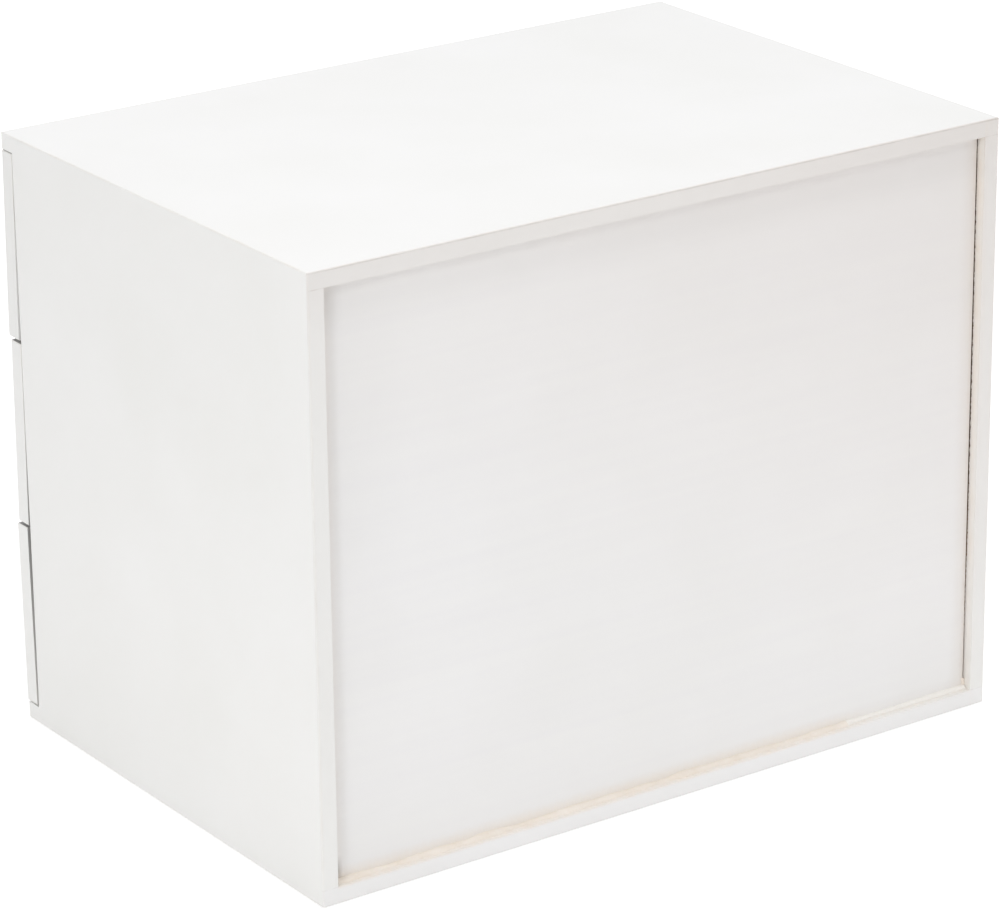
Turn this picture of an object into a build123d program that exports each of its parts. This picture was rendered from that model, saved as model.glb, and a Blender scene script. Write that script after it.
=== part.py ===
"""Desktop drawer box: a painted board carcass with three full-width drawers.

The top and bottom boards run over the ends of the side boards and stand out over
the drawer fronts. The back board is let in between them. Two divider boards sit in
housings in the sides, and each drawer slides on the board below it. Lengths are in
millimetres. X is the width, the drawers open towards -Y, and Z is up from the
middle of the underside.
"""

import os
from math import radians, sin

from build123d import *

# Carcass
box_width = 330.0
box_depth = 225.0
box_height = 255.0
carcass_board = 7.0
carcass_round = 0.45  # eased outer edges

# Back board, let in between the top, the bottom and the sides
back_board = 5.0
back_inset = 4.3  # from the rear edges of the carcass to the back board's face
back_side_gap = 0.7

# Divider boards between the drawers
divider_board = 5.0
divider_housing_depth = 3.0
divider_setback = 1.0  # behind the front edges of the sides

# Drawer fronts, which close over the front edges of the sides
front_board = 8.2
front_room = 8.2  # depth in front of the sides that the top and the bottom cover
front_gap = 1.2  # between one front and the next
front_round = 0.6
front_lean = {"bottom": -0.9, "middle": 0.6, "top": 1.1}  # degrees out of upright, foot outwards
home_gap = 0.1  # left between a front and the sides when its drawer is pushed home
rest_open = {"bottom": 0.85, "middle": 0.0, "top": 0.0}  # how far each drawer stands open

# Drawer boxes behind the fronts
drawer_board = 6.0
drawer_round = 1.0  # eased upper edges
drawer_side_gap = 1.0
drawer_slide_gap = 0.3
drawer_headroom = 8.0
drawer_rear_gap = 4.0
front_housing_depth = 2.5  # how far the drawer sides are let into the front

# Drawer floors, held in grooves and pinned up into the drawer back
floor_board = 3.0
floor_height = 5.0  # from the lower edge of the drawer sides to the floor
floor_groove_depth = 3.0
floor_groove_play = 0.2
floor_end_gap = 0.3

# Turned knobs, from the foot on the drawer front to the dome
knob_foot_diameter = 15.0
knob_foot_height = 2.0
knob_neck_diameter = 11.0
knob_hollow_length = 12.0
knob_neck_share = 0.42  # where the hollow is narrowest, along its length
knob_rim_diameter = 25.0
knob_rim_width = 2.5
knob_rim_round = 1.1
knob_dome_height = 3.5
knob_bore_spare = 3.0  # bore left past the end of the screw

# Knob screws, driven from inside the drawer
screw_diameter = 4.0
screw_grip = 10.0  # length in the knob
screw_head_diameter = 7.5
screw_head_height = 2.4
screw_head_round = 1.0
screw_slot_width = 1.1
screw_slot_length = 4.4
screw_slot_depth = 1.3
screw_hole_play = 0.25
screw_thread_play = 0.05

# Brads, which pin the boards together
brad_diameter = 1.4
brad_length = 18.0
brad_point = 1.5
brad_head_diameter = 2.2
brad_head_height = 0.7
brad_play = 0.05
brad_cover = 0.6  # filler and paint over the heads on the outside of the carcass
brad_margin = 22.0  # from the end of a joint to its first brad
drawer_brad_margin = 11.0
side_brad_count = 4
back_brad_count = 3
drawer_brad_count = 2
floor_brad_count = 3

cut_overrun = 1.0
round_limit_share = 0.45  # the most of a board's thickness that an eased edge takes
drawer_names = tuple(rest_open)

# Places in the carcass
half_width = box_width / 2
half_depth = box_depth / 2
half_inner_width = half_width - carcass_board
inner_top = box_height - carcass_board
side_front = -half_depth + front_room
side_middle = half_inner_width + carcass_board / 2
back_rear = half_depth - back_inset
back_front = back_rear - back_board
back_middle = (back_front + back_rear) / 2
drawer_pitch = (inner_top - carcass_board) / len(drawer_names)

# Places in a drawer whose front stands upright against the sides, on a board at height zero
front_inside = side_front
front_face = front_inside - front_board
front_bottom = front_gap / 2
front_top = drawer_pitch - front_gap / 2
drawer_half_width = half_inner_width - drawer_side_gap
drawer_inside = drawer_half_width - drawer_board
drawer_bottom = drawer_slide_gap
drawer_top = drawer_pitch - divider_board - drawer_headroom
drawer_rear = back_front - drawer_rear_gap
drawer_back_front = drawer_rear - drawer_board
drawer_back_middle = (drawer_back_front + drawer_rear) / 2
floor_bottom = drawer_bottom + floor_height
floor_top = floor_bottom + floor_board
knob_height = (front_bottom + front_top) / 2


def block(x, y, z):
    """A rectangular solid between its limits along X, Y and Z."""
    spans = [sorted(limits) for limits in (x, y, z)]
    centre = [(low + high) / 2 for low, high in spans]
    size = [high - low for low, high in spans]
    return Pos(*centre) * Box(*size)


def eased(edges, radius, thickness):
    """The board that has these edges, with them rounded within what its thickness allows."""
    return fillet(edges, min(radius, round_limit_share * thickness))


def evenly(low, high, count):
    """Places spread evenly from low to high, or the middle for a single one."""
    if count == 1:
        return [(low + high) / 2]
    return [low + (high - low) * i / (count - 1) for i in range(count)]


def brad(play=0):
    """A headed brad along +Z from its head's face, or with play the hole that it leaves."""
    shank = brad_diameter / 2 + play
    head = brad_head_diameter / 2 + play
    neck = brad_head_height + play
    end = brad_length + play
    half = Polyline(
        (0, -play), (head, -play), (head, neck), (shank, neck), (shank, end - brad_point), (0, end), close=True
    )
    return revolve(Plane.XZ * make_face(half), Axis.Z)


def at_places(places, shape):
    """The same shape at every place."""
    return [place * shape for place in places]


def carcass_brad_places():
    """Brads through the top and the bottom, into the ends of the sides and of the back."""
    along_sides = evenly(side_front + brad_margin, half_depth - brad_margin, side_brad_count)
    along_back = evenly(-half_inner_width + brad_margin, half_inner_width - brad_margin, back_brad_count)
    spots = [(x, y) for x in (-side_middle, side_middle) for y in along_sides]
    spots += [(x, back_middle) for x in along_back]
    down = [Pos(x, y, box_height - brad_cover) * Rot(180, 0, 0) for x, y in spots]
    up = [Pos(x, y, brad_cover) for x, y in spots]
    return down + up


def drawer_brad_places():
    """Brads through the drawer sides and the floor, into the ends and the foot of the back."""
    up_side = evenly(floor_top + drawer_brad_margin, drawer_top - drawer_brad_margin, drawer_brad_count)
    along_floor = evenly(-drawer_inside + brad_margin, drawer_inside - brad_margin, floor_brad_count)
    inward = [
        Pos(hand * drawer_half_width, drawer_back_middle, z) * Rot(0, -90 * hand, 0)
        for hand in (-1, 1)
        for z in up_side
    ]
    up = [Pos(x, drawer_back_middle, floor_bottom) for x in along_floor]
    return inward + up


carcass_brad_holes = at_places(carcass_brad_places(), brad(brad_play))
drawer_brad_holes = at_places(drawer_brad_places(), brad(brad_play))


def flat_panel(low, high, outer_face):
    """The top or the bottom: a full-size board, eased at its corners and round its outer face."""
    board = block((-half_width, half_width), (-half_depth, half_depth), (low, high))
    edges = board.edges().filter_by(Axis.Z) + board.faces().sort_by(Axis.Z)[outer_face].edges()
    return eased(edges, carcass_round, carcass_board).cut(*carcass_brad_holes)


def divider(level):
    """The board that a drawer slides on, housed in both sides and butted on the back."""
    top = carcass_board + level * drawer_pitch
    half = half_inner_width + divider_housing_depth
    return block((-half, half), (side_front + divider_setback, back_front), (top - divider_board, top))


def side_panel(hand):
    """A side with a housing for each divider. Hand is -1 for the left and 1 for the right."""
    x = (hand * half_inner_width, hand * half_width)
    board = block(x, (side_front, half_depth), (carcass_board, inner_top))
    outer_face = board.faces().sort_by(Axis.X)[0 if hand < 0 else -1]
    board = eased(outer_face.edges().filter_by(Axis.Z), carcass_round, carcass_board)
    housings = [divider(level) for level in range(1, len(drawer_names))]
    return board.cut(*housings, *carcass_brad_holes)


def back_panel():
    """The back, which stands on the bottom and reaches the top, with a slit at each side."""
    half = half_inner_width - back_side_gap
    board = block((-half, half), (back_front, back_rear), (carcass_board, inner_top))
    return board.cut(*carcass_brad_holes)


def side_blank(hand):
    """A drawer side before its groove is cut, eased along its upper edges."""
    x = (hand * drawer_inside, hand * drawer_half_width)
    board = block(x, (front_inside - front_housing_depth, drawer_rear), (drawer_bottom, drawer_top))
    upper_edges = board.faces().sort_by(Axis.Z)[-1].edges().filter_by(Axis.Y)
    return eased(upper_edges, drawer_round, drawer_board)


def floor_groove():
    """The room that the floor takes in the sides and the front."""
    half = drawer_inside + floor_groove_depth
    y = (front_inside - floor_groove_depth, drawer_rear + cut_overrun)
    return block((-half, half), y, (floor_bottom, floor_top + floor_groove_play))


def drawer_side(hand):
    """A drawer side, grooved for the floor along its whole length."""
    return side_blank(hand).cut(floor_groove(), *drawer_brad_holes)


def drawer_back():
    """The drawer back, between the sides, standing on the floor and eased like the sides."""
    x = (-drawer_inside, drawer_inside)
    board = block(x, (drawer_back_front, drawer_rear), (floor_top, drawer_top))
    upper_edges = board.faces().sort_by(Axis.Z)[-1].edges().filter_by(Axis.X)
    return eased(upper_edges, drawer_round, drawer_board).cut(*drawer_brad_holes)


def drawer_floor():
    """The thin floor, slid along its grooves from the rear and under the drawer back."""
    half = drawer_inside + floor_groove_depth - floor_end_gap
    y = (front_inside - floor_groove_depth + floor_end_gap, drawer_rear)
    return block((-half, half), y, (floor_bottom, floor_top)).cut(*drawer_brad_holes)


def leaning(angle, shape):
    """The shape turned with the front about the middle of its inner face, foot outwards."""
    middle = Pos(0, front_inside, knob_height)
    return middle * Rot(-angle, 0, 0) * middle.inverse() * shape


def lean_reach(angle):
    """How far a leaning front's inner face comes towards the sides, at its head or its foot."""
    return (front_top - front_bottom) / 2 * sin(radians(abs(angle)))


def drawer_front(angle):
    """The front, eased round its face, housed for the sides and grooved for the floor."""
    board = block((-half_width, half_width), (front_face, front_inside), (front_bottom, front_top))
    edges = board.edges().filter_by(Axis.Y) + board.faces().sort_by(Axis.Y)[0].edges()
    board = eased(edges, front_round, front_board)
    screw_hole = Cylinder(screw_diameter / 2 + screw_hole_play, 2 * (front_board + cut_overrun))
    board = leaning(angle, board.cut(out_of_front(front_inside) * screw_hole))
    return board.cut(side_blank(-1), side_blank(1), floor_groove())


def out_of_front(depth):
    """The middle of the front at some depth, with +Z pointing out of the drawer."""
    return Pos(0, depth, knob_height) * Rot(90, 0, 0)


def knob():
    """A turned knob: a flat foot, a hollow neck, a rounded rim and a low dome."""
    foot, neck, rim = knob_foot_diameter / 2, knob_neck_diameter / 2, knob_rim_diameter / 2
    neck_height = knob_foot_height + knob_neck_share * knob_hollow_length
    rim_low = knob_foot_height + knob_hollow_length
    rim_high = rim_low + knob_rim_width
    end = rim_high + knob_dome_height
    half = [
        Polyline((0, end), (0, 0), (foot, 0), (foot, knob_foot_height)),
        ThreePointArc((foot, knob_foot_height), (neck, neck_height), (rim, rim_low)),
        Line((rim, rim_low), (rim, rim_high)),
        TangentArc((0, end), (rim, rim_high), tangent=(1, 0)),
    ]
    turned = revolve(Plane.XZ * make_face(half), Axis.Z)
    rim_edges = [e for e in turned.edges().filter_by(GeomType.CIRCLE) if e.radius > foot]
    turned = eased(rim_edges, knob_rim_round, knob_rim_width)
    bore = Cylinder(screw_diameter / 2 + screw_thread_play, 2 * (screw_grip + knob_bore_spare))
    return out_of_front(front_face) * (turned - bore)


def knob_screw():
    """A round-headed screw with a crossed slot, from inside the drawer into the knob."""
    length = front_board + screw_grip
    shank = Pos(0, 0, length / 2) * Cylinder(screw_diameter / 2, length)
    head = Pos(0, 0, -screw_head_height / 2) * Cylinder(screw_head_diameter / 2, screw_head_height)
    head = eased(head.edges().sort_by(Axis.Z)[:1], screw_head_round, screw_head_height)
    slot = Pos(0, 0, -screw_head_height) * Box(screw_slot_length, screw_slot_width, 2 * screw_slot_depth)
    return out_of_front(front_inside) * (shank + head - slot - Rot(0, 0, 90) * slot)


def as_group(shapes):
    """Separate solids of one kind, kept together."""
    return Compound([solid for shape in shapes for solid in shape.solids()])


pieces = {
    "top_panel": flat_panel(inner_top, box_height, -1),
    "bottom_panel": flat_panel(0, carcass_board, 0),
    "left_side_panel": side_panel(-1),
    "right_side_panel": side_panel(1),
    "back_panel": back_panel(),
    "lower_divider": divider(1),
    "upper_divider": divider(2),
    "carcass_brads": as_group(at_places(carcass_brad_places(), brad())),
}
drawer_pieces = {
    "left_side": drawer_side(-1),
    "right_side": drawer_side(1),
    "back": drawer_back(),
    "floor": drawer_floor(),
    "brads": as_group(at_places(drawer_brad_places(), brad())),
}
for level, name in enumerate(drawer_names):
    angle = front_lean[name]
    front_pieces = {
        "front": drawer_front(angle),
        "knob": leaning(angle, knob()),
        "knob_screw": leaning(angle, knob_screw()),
    }
    forward = lean_reach(angle) + home_gap + rest_open[name]
    place = Pos(0, -forward, carcass_board + level * drawer_pitch)
    for piece, shape in {**front_pieces, **drawer_pieces}.items():
        pieces[f"{name}_drawer_{piece}"] = place * shape

os.makedirs("parts", exist_ok=True)
for name, shape in pieces.items():
    export_step(shape, f"parts/{name}.step")
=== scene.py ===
"""A white painted drawer box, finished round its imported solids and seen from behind, from its right."""

import math

import bpy
from mathutils import Matrix, Vector


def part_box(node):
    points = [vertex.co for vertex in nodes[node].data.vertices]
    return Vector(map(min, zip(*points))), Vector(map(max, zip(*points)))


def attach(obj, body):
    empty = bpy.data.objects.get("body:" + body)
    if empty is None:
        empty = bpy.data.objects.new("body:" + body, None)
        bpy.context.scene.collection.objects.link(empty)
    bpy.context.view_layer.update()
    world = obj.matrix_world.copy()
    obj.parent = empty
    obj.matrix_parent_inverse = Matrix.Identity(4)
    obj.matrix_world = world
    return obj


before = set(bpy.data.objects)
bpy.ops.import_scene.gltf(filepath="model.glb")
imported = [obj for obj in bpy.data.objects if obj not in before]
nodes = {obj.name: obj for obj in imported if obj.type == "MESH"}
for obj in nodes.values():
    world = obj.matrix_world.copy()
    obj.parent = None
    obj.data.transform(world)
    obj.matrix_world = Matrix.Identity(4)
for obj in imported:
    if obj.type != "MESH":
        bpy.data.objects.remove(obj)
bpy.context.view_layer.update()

# Carcass boards
# The top, the bottom and the two sides are sawn from 7 mm fibreboard, butted, glued and pinned.
# Outside they are filled, sanded and rolled with satin white paint. Inside they stay bare, apart
# from the thin paint that went into the recess behind the back panel.
mm = 0.001
carcass_nodes = ("bottom_panel", "left_side_panel", "right_side_panel", "top_panel")
carcass_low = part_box("bottom_panel")[0]
carcass_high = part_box("top_panel")[1]
inner_low = Vector((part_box("left_side_panel")[1].x, 0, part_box("bottom_panel")[1].z))
inner_high = Vector((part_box("right_side_panel")[0].x, 0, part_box("top_panel")[0].z))
back_low, back_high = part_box("back_panel")
noise_span = {"From Min": 0.3, "From Max": 0.7}  # nearly all of a noise lies between these


def linear(code):
    """An sRGB hex colour as linear red, green, blue and alpha."""
    shares = [int(code[i : i + 2], 16) / 255 for i in (1, 3, 5)]
    return [c / 12.92 if c <= 0.04045 else ((c + 0.055) / 1.055) ** 2.4 for c in shares] + [1]


def add(tree, kind, inputs, **settings):
    """Adds a node with its settings and gives back the first output that it then has.

    An input goes by its name, or by its number where names repeat. It takes a value, or a link from
    another node's output.
    """
    node = tree.nodes.new(kind)
    for name, value in settings.items():
        setattr(node, name, value)
    named = {socket.name: socket for socket in reversed(node.inputs[:]) if socket.enabled}
    for key, value in inputs.items():
        socket = node.inputs[key] if isinstance(key, int) else named[key]
        if isinstance(value, bpy.types.NodeSocket):
            tree.links.new(value, socket)
        else:
            socket.default_value = value
    return next((socket for socket in node.outputs if socket.enabled), None)


def start_material(name):
    """A new material's tree, its place on the piece and its surface shader."""
    material = bpy.data.materials.new(name)
    material.use_nodes = True
    tree = material.node_tree
    place = add(tree, "ShaderNodeTexCoord", {}).node.outputs["Object"]
    return material, tree, place, tree.nodes["Principled BSDF"]


def connect(tree, shader, colour, gloss, bump=None, ior=None):
    """Links what a material's nodes give to its surface shader."""
    tree.links.new(colour, shader.inputs["Base Color"])
    tree.links.new(gloss, shader.inputs["Roughness"])
    if bump:
        tree.links.new(bump, shader.inputs["Normal"])
    if ior:
        shader.inputs["IOR"].default_value = ior


def dress(node_name, material):
    """Gives one CAD node its finish."""
    slots = nodes[node_name].material_slots
    for slot in slots:
        slot.link = "OBJECT"
        slot.material = material


def white_coat(tree, place, low, high):
    """Colour and height of rolled satin paint on a board between two corners.

    The eye sees a soft off-white that drifts a little from one roller pass to the next, a fine
    stipple in the sheen, a few dust nibs, and a warmer, thinner coat along the eased edges.
    """
    pass_width, stipple, patch_size, edge_width = 70 * mm, 1.3 * mm, 9 * mm, 1.1 * mm
    nib_spacing, nib_size, nib_height = 26 * mm, 0.5 * mm, 1.2
    nib_share = nib_size / nib_spacing
    bright_white, dull_white, thin_white = "#F1F1F0", "#EEEEEC", "#DCCDBD"
    middle, half = (low + high) / 2, (high - low) / 2
    drift = add(tree, "ShaderNodeTexNoise", {"Vector": place, "Scale": 1 / pass_width, "Detail": 3})
    tone = add(tree, "ShaderNodeMapRange", {"Value": drift, **noise_span})
    coat = add(
        tree,
        "ShaderNodeMix",
        {"Factor": tone, "A": linear(bright_white), "B": linear(dull_white)},
        data_type="RGBA",
    )
    away = add(tree, "ShaderNodeVectorMath", {0: place, 1: middle}, operation="SUBTRACT")
    away = add(tree, "ShaderNodeVectorMath", {0: away}, operation="ABSOLUTE")
    rim = half - Vector((edge_width,) * 3)
    close = add(
        tree,
        "ShaderNodeMapRange",
        {"Vector": away, "From Min": rim, "From Max": half},
        data_type="FLOAT_VECTOR",
    )
    # Close to two faces at once is close to an edge
    close = add(tree, "ShaderNodeVectorMath", {0: close, 1: (1, 1, 1)}, operation="DOT_PRODUCT")
    patchy = add(tree, "ShaderNodeTexNoise", {"Vector": place, "Scale": 1 / patch_size, "Detail": 4})
    patchy = add(
        tree,
        "ShaderNodeMapRange",
        {"Value": patchy, "From Min": 0.35, "From Max": 0.75, "To Min": 0.06, "To Max": 0.3},
    )
    thin = add(tree, "ShaderNodeMath", {0: close, 1: 1}, operation="SUBTRACT", use_clamp=True)
    thin = add(tree, "ShaderNodeMath", {0: thin, 1: patchy}, operation="MULTIPLY")
    colour = add(
        tree,
        "ShaderNodeMix",
        {"Factor": thin, "A": coat, "B": linear(thin_white)},
        data_type="RGBA",
    )
    grit = add(tree, "ShaderNodeTexNoise", {"Vector": place, "Scale": 1 / stipple, "Detail": 2})
    nib = add(tree, "ShaderNodeTexVoronoi", {"Vector": place, "Scale": 1 / nib_spacing})
    nib = add(
        tree,
        "ShaderNodeMapRange",
        {"Value": nib, "From Min": 0, "From Max": nib_share, "To Min": nib_height, "To Max": 0},
    )
    height = add(tree, "ShaderNodeMath", {0: grit, 1: nib}, operation="ADD")
    return colour, height


def bare_fibreboard(tree, place):
    """Colour and height of raw fibreboard: a tan felt of short fibres, paler and darker in flecks."""
    fibre, blotch = 0.7 * mm, 28 * mm
    pale_tan, mid_tan, fleck_tan = "#CDAF88", "#C3A178", "#AF8B61"
    flecks = add(
        tree,
        "ShaderNodeTexNoise",
        {"Vector": place, "Scale": 1 / fibre, "Detail": 4, "Roughness": 0.7},
    )
    flecks = add(tree, "ShaderNodeMapRange", {"Value": flecks, **noise_span})
    cloud = add(tree, "ShaderNodeTexNoise", {"Vector": place, "Scale": 1 / blotch, "Detail": 2})
    pale = add(
        tree,
        "ShaderNodeMix",
        {"Factor": cloud, "A": linear(pale_tan), "B": linear(mid_tan)},
        data_type="RGBA",
    )
    colour = add(
        tree,
        "ShaderNodeMix",
        {"Factor": flecks, "A": pale, "B": linear(fleck_tan)},
        data_type="RGBA",
    )
    return colour, flecks


def yellowed(tree, place, colour, most):
    """A paint's colour, aged to a pinker white towards the upper left-hand corner of the back."""
    lean, fresh_climb, aged_climb, aged_white = Vector((-0.6, 0, 1)), 80 * mm, 290 * mm, "#EBE0DA"
    climb = add(tree, "ShaderNodeVectorMath", {0: place, 1: lean}, operation="DOT_PRODUCT")
    share = add(
        tree,
        "ShaderNodeMapRange",
        {"Value": climb, "From Min": fresh_climb, "From Max": aged_climb, "To Max": most},
    )
    return add(
        tree,
        "ShaderNodeMix",
        {"Factor": share, "A": colour, "B": linear(aged_white)},
        data_type="RGBA",
    )


def part_painted(tree, shader, painted, bare, coat):
    """Finishes a board that is bare where painted is 0 and coated where it is 1.

    Bare and coat are a colour and a height each. Bare board is dull, and the coat has a satin sheen.
    """
    bare_rough, coat_rough, paint_ior = 0.8, 0.46, 1.5
    colour = add(
        tree,
        "ShaderNodeMix",
        {"Factor": painted, "A": bare[0], "B": coat[0]},
        data_type="RGBA",
    )
    height = add(tree, "ShaderNodeMix", {"Factor": painted, "A": bare[1], "B": coat[1]})
    gloss = add(tree, "ShaderNodeMapRange", {"Value": painted, "To Min": bare_rough, "To Max": coat_rough})
    bump = add(tree, "ShaderNodeBump", {"Strength": 0.12, "Distance": 0.05 * mm, "Height": height})
    connect(tree, shader, colour, gloss, bump, paint_ior)


paint, tree, place, shader = start_material("satin_white_paint_on_fibreboard")
coat_colour, coat_height = white_coat(tree, place, carcass_low, carcass_high)
bare_colour, bare_height = bare_fibreboard(tree, place)
axes = add(tree, "ShaderNodeSeparateXYZ", {0: place}).node.outputs
width = add(tree, "ShaderNodeMath", {0: axes["X"]}, operation="ABSOLUTE")
# What fades along an axis: the axis, the two ends of the fade and its share at each of them. For the
# two runs of paint it is a depth
rear_end, sheet_face, ledge_z, edge_x = carcass_high.y, back_high.y, inner_low.z, inner_low.x
glue_stop, glue_start = -108 * mm, -88 * mm
fades = {
    "sawn": ("Y", rear_end - 0.9 * mm, rear_end - 0.4 * mm, 0, 1),
    # The dulling of the sawn edges fades out at the foot: painted light
    "dry_and_foot_light": ("Z", 10 * mm, 60 * mm, 0, 0.35),
    "upper": ("Z", 225 * mm, 248 * mm, 0, 1),
    # The lower rear edge is painted whiter here: painted light
    "painted_foot_light": ("Z", 6.5 * mm, 8 * mm, 0.35, 0),
    "run_in": ("Z", 12 * mm, 75 * mm, 1.3 * mm, 0),
    "run_down": ("Z", 160 * mm, 240 * mm, 0, 0.3 * mm),
    "lip": ("Y", rear_end - 2.4 * mm, rear_end, 1, 0.35),
    "level": ("Z", 20 * mm, 140 * mm, 0.45, 1),
    "spill": ("X", edge_x - 3.2 * mm, edge_x, 0, 0.6),
    "film": ("Z", ledge_z + 1.2 * mm, ledge_z + 0.2 * mm, 0, 1),
    "wiped": ("Z", ledge_z - 1.2 * mm, ledge_z, 0, 0.7),
    "scant": ("X", glue_stop, glue_start, 0.3, 1),
    "behind": ("Y", sheet_face - 0.2 * mm, sheet_face, 0, 1),
    # Where the painted shade in the slit beside the back sheet lies
    "slit": ("Y", sheet_face - 4 * mm, sheet_face - 1.5 * mm, 0, 1),
    "foot": ("Z", 10 * mm, 105 * mm, 0, 0.86),
}
fade = {
    name: add(
        tree,
        "ShaderNodeMapRange",
        {"Value": axes[axis], "From Min": start, "From Max": end, "To Min": first, "To Max": last},
    )
    for name, (axis, start, end, first, last) in fades.items()
}
# The sawn rear edges drink the paint and yellow more than the faces. They are kept whiter at the foot, a
# painted light from the floor
sawn, dry_white, most_aged = fade["sawn"], "#E2E1DF", 0.28
dull = add(
    tree,
    "ShaderNodeMix",
    {"Factor": fade["dry_and_foot_light"], "A": coat_colour, "B": linear(dry_white)},
    data_type="RGBA",
)
outside = add(
    tree,
    "ShaderNodeMix",
    {"Factor": sawn, "A": coat_colour, "B": yellowed(tree, place, dull, most_aged)},
    data_type="RGBA",
)
# Wear and painted light are laid over the paint in this order, each a share and a tint
wear_and_light = []
# A hair crack shows at each butt joint
inner_middle, inner_half = (inner_low + inner_high) / 2, (inner_high - inner_low) / 2
crack_length = 4 * mm
joint = add(tree, "ShaderNodeMath", {0: axes["Z"], 1: inner_middle.z}, operation="SUBTRACT")
joint = add(tree, "ShaderNodeMath", {0: joint}, operation="ABSOLUTE")
joint = add(tree, "ShaderNodeMath", {0: joint, 1: inner_half.z}, operation="SUBTRACT")
joint = add(tree, "ShaderNodeMath", {0: joint}, operation="ABSOLUTE")
joint = add(
    tree,
    "ShaderNodeMapRange",
    {"Value": joint, "From Min": 0.1 * mm, "From Max": 0.35 * mm, "To Min": 0.2, "To Max": 0},
)
end_grain = add(tree, "ShaderNodeMath", {0: width, 1: inner_high.x}, operation="GREATER_THAN")
crack = add(tree, "ShaderNodeTexNoise", {"Vector": place, "Scale": 1 / crack_length, "Detail": 2})
crack = add(tree, "ShaderNodeMapRange", {"Value": crack, "From Min": 0.35, "From Max": 0.6})
for share in (joint, sawn, end_grain):
    crack = add(tree, "ShaderNodeMath", {0: crack, 1: share}, operation="MULTIPLY")
wear_and_light.append((crack, "#9C8A78"))
# The upper rear arris is rubbed through in patches, which leaves a thin darker line
arris_z, patch_size = carcass_high.z - 0.5 * mm, 14 * mm
rubbed = add(tree, "ShaderNodeMath", {0: axes["Z"], 1: arris_z}, operation="SUBTRACT")
rubbed = add(tree, "ShaderNodeMath", {0: rubbed}, operation="ABSOLUTE")
rubbed = add(
    tree,
    "ShaderNodeMapRange",
    {"Value": rubbed, "From Min": 0.15 * mm, "From Max": 0.45 * mm, "To Min": 0.3, "To Max": 0},
)
patches = add(tree, "ShaderNodeTexNoise", {"Vector": place, "Scale": 1 / patch_size, "Detail": 3})
patches = add(
    tree,
    "ShaderNodeMapRange",
    {"Value": patches, "From Min": 0.35, "From Max": 0.65, "To Min": 0.25, "To Max": 1},
)
for share in (patches, sawn):
    rubbed = add(tree, "ShaderNodeMath", {0: rubbed, 1: share}, operation="MULTIPLY")
wear_and_light.append((rubbed, "#9A8F84"))
# Handling has greyed the upper rear edge towards its ends
tired = add(
    tree,
    "ShaderNodeMapRange",
    {"Value": width, "From Min": 30 * mm, "From Max": 160 * mm, "To Min": 0.015, "To Max": 0.105},
)
for share in (fade["upper"], sawn):
    tired = add(tree, "ShaderNodeMath", {0: tired, 1: share}, operation="MULTIPLY")
wear_and_light.append((tired, "#C8B9B2"))
# The lower rear edge is painted whiter: a painted light, as if lit from the floor
painted_foot_light = add(tree, "ShaderNodeMath", {0: fade["painted_foot_light"], 1: sawn}, operation="MULTIPLY")
wear_and_light.append((painted_foot_light, "#F2F1F4"))
# Inside is what lies between the boards' inner faces, at any depth
hair, any_depth, nearly_three = 0.05 * mm, 1, 2.5
inner_reach = Vector((inner_half.x + hair, any_depth, inner_half.z + hair))
away = add(tree, "ShaderNodeVectorMath", {0: place, 1: inner_middle}, operation="SUBTRACT")
away = add(tree, "ShaderNodeVectorMath", {0: away}, operation="ABSOLUTE")
room = add(tree, "ShaderNodeVectorMath", {0: inner_reach, 1: away}, operation="SUBTRACT")
room = add(tree, "ShaderNodeVectorMath", {0: room}, operation="SIGN")
room = add(tree, "ShaderNodeVectorMath", {0: room, 1: (1, 1, 1)}, operation="DOT_PRODUCT")
inside = add(tree, "ShaderNodeMath", {0: room, 1: nearly_three}, operation="GREATER_THAN")
# The recess took a thin, uneven coat over glue size, creamy in places and whiter towards the sawn edge.
# It runs deeper into the slit at the foot, and a little at the head
crumb_size, smear_size = 2 * mm, 11 * mm
crumbs = add(tree, "ShaderNodeTexNoise", {"Vector": place, "Scale": 1 / crumb_size, "Detail": 3})
crumbs = add(
    tree,
    "ShaderNodeMapRange",
    {"Value": crumbs, **noise_span, "To Min": -0.3 * mm, "To Max": 0.3 * mm},
)
brushed = axes["Y"]
for extra in (crumbs, fade["run_in"], fade["run_down"]):
    brushed = add(tree, "ShaderNodeMath", {0: brushed, 1: extra}, operation="ADD")
recess = add(
    tree,
    "ShaderNodeMapRange",
    {"Value": brushed, "From Min": sheet_face - 0.2 * mm, "From Max": sheet_face + 0.1 * mm},
)
smear = add(
    tree,
    "ShaderNodeTexNoise",
    {"Vector": place, "Scale": 1 / smear_size, "Detail": 4, "Roughness": 0.6},
)
smear = add(tree, "ShaderNodeMapRange", {"Value": smear, **noise_span, "To Min": 0.24, "To Max": 0.58})
# On the left-hand board the cream runs out over the arris
left = add(tree, "ShaderNodeMath", {0: axes["X"], 1: edge_x + 0.1 * mm}, operation="LESS_THAN")
spill = fade["spill"]
for share in (left, sawn):
    spill = add(tree, "ShaderNodeMath", {0: spill, 1: share}, operation="MULTIPLY")
spill = add(tree, "ShaderNodeMath", {0: spill, 1: inside}, operation="MAXIMUM")
for share in (fade["lip"], fade["level"], spill):
    smear = add(tree, "ShaderNodeMath", {0: smear, 1: share}, operation="MULTIPLY")
wear_and_light.append((smear, "#ECDCCB"))
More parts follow.
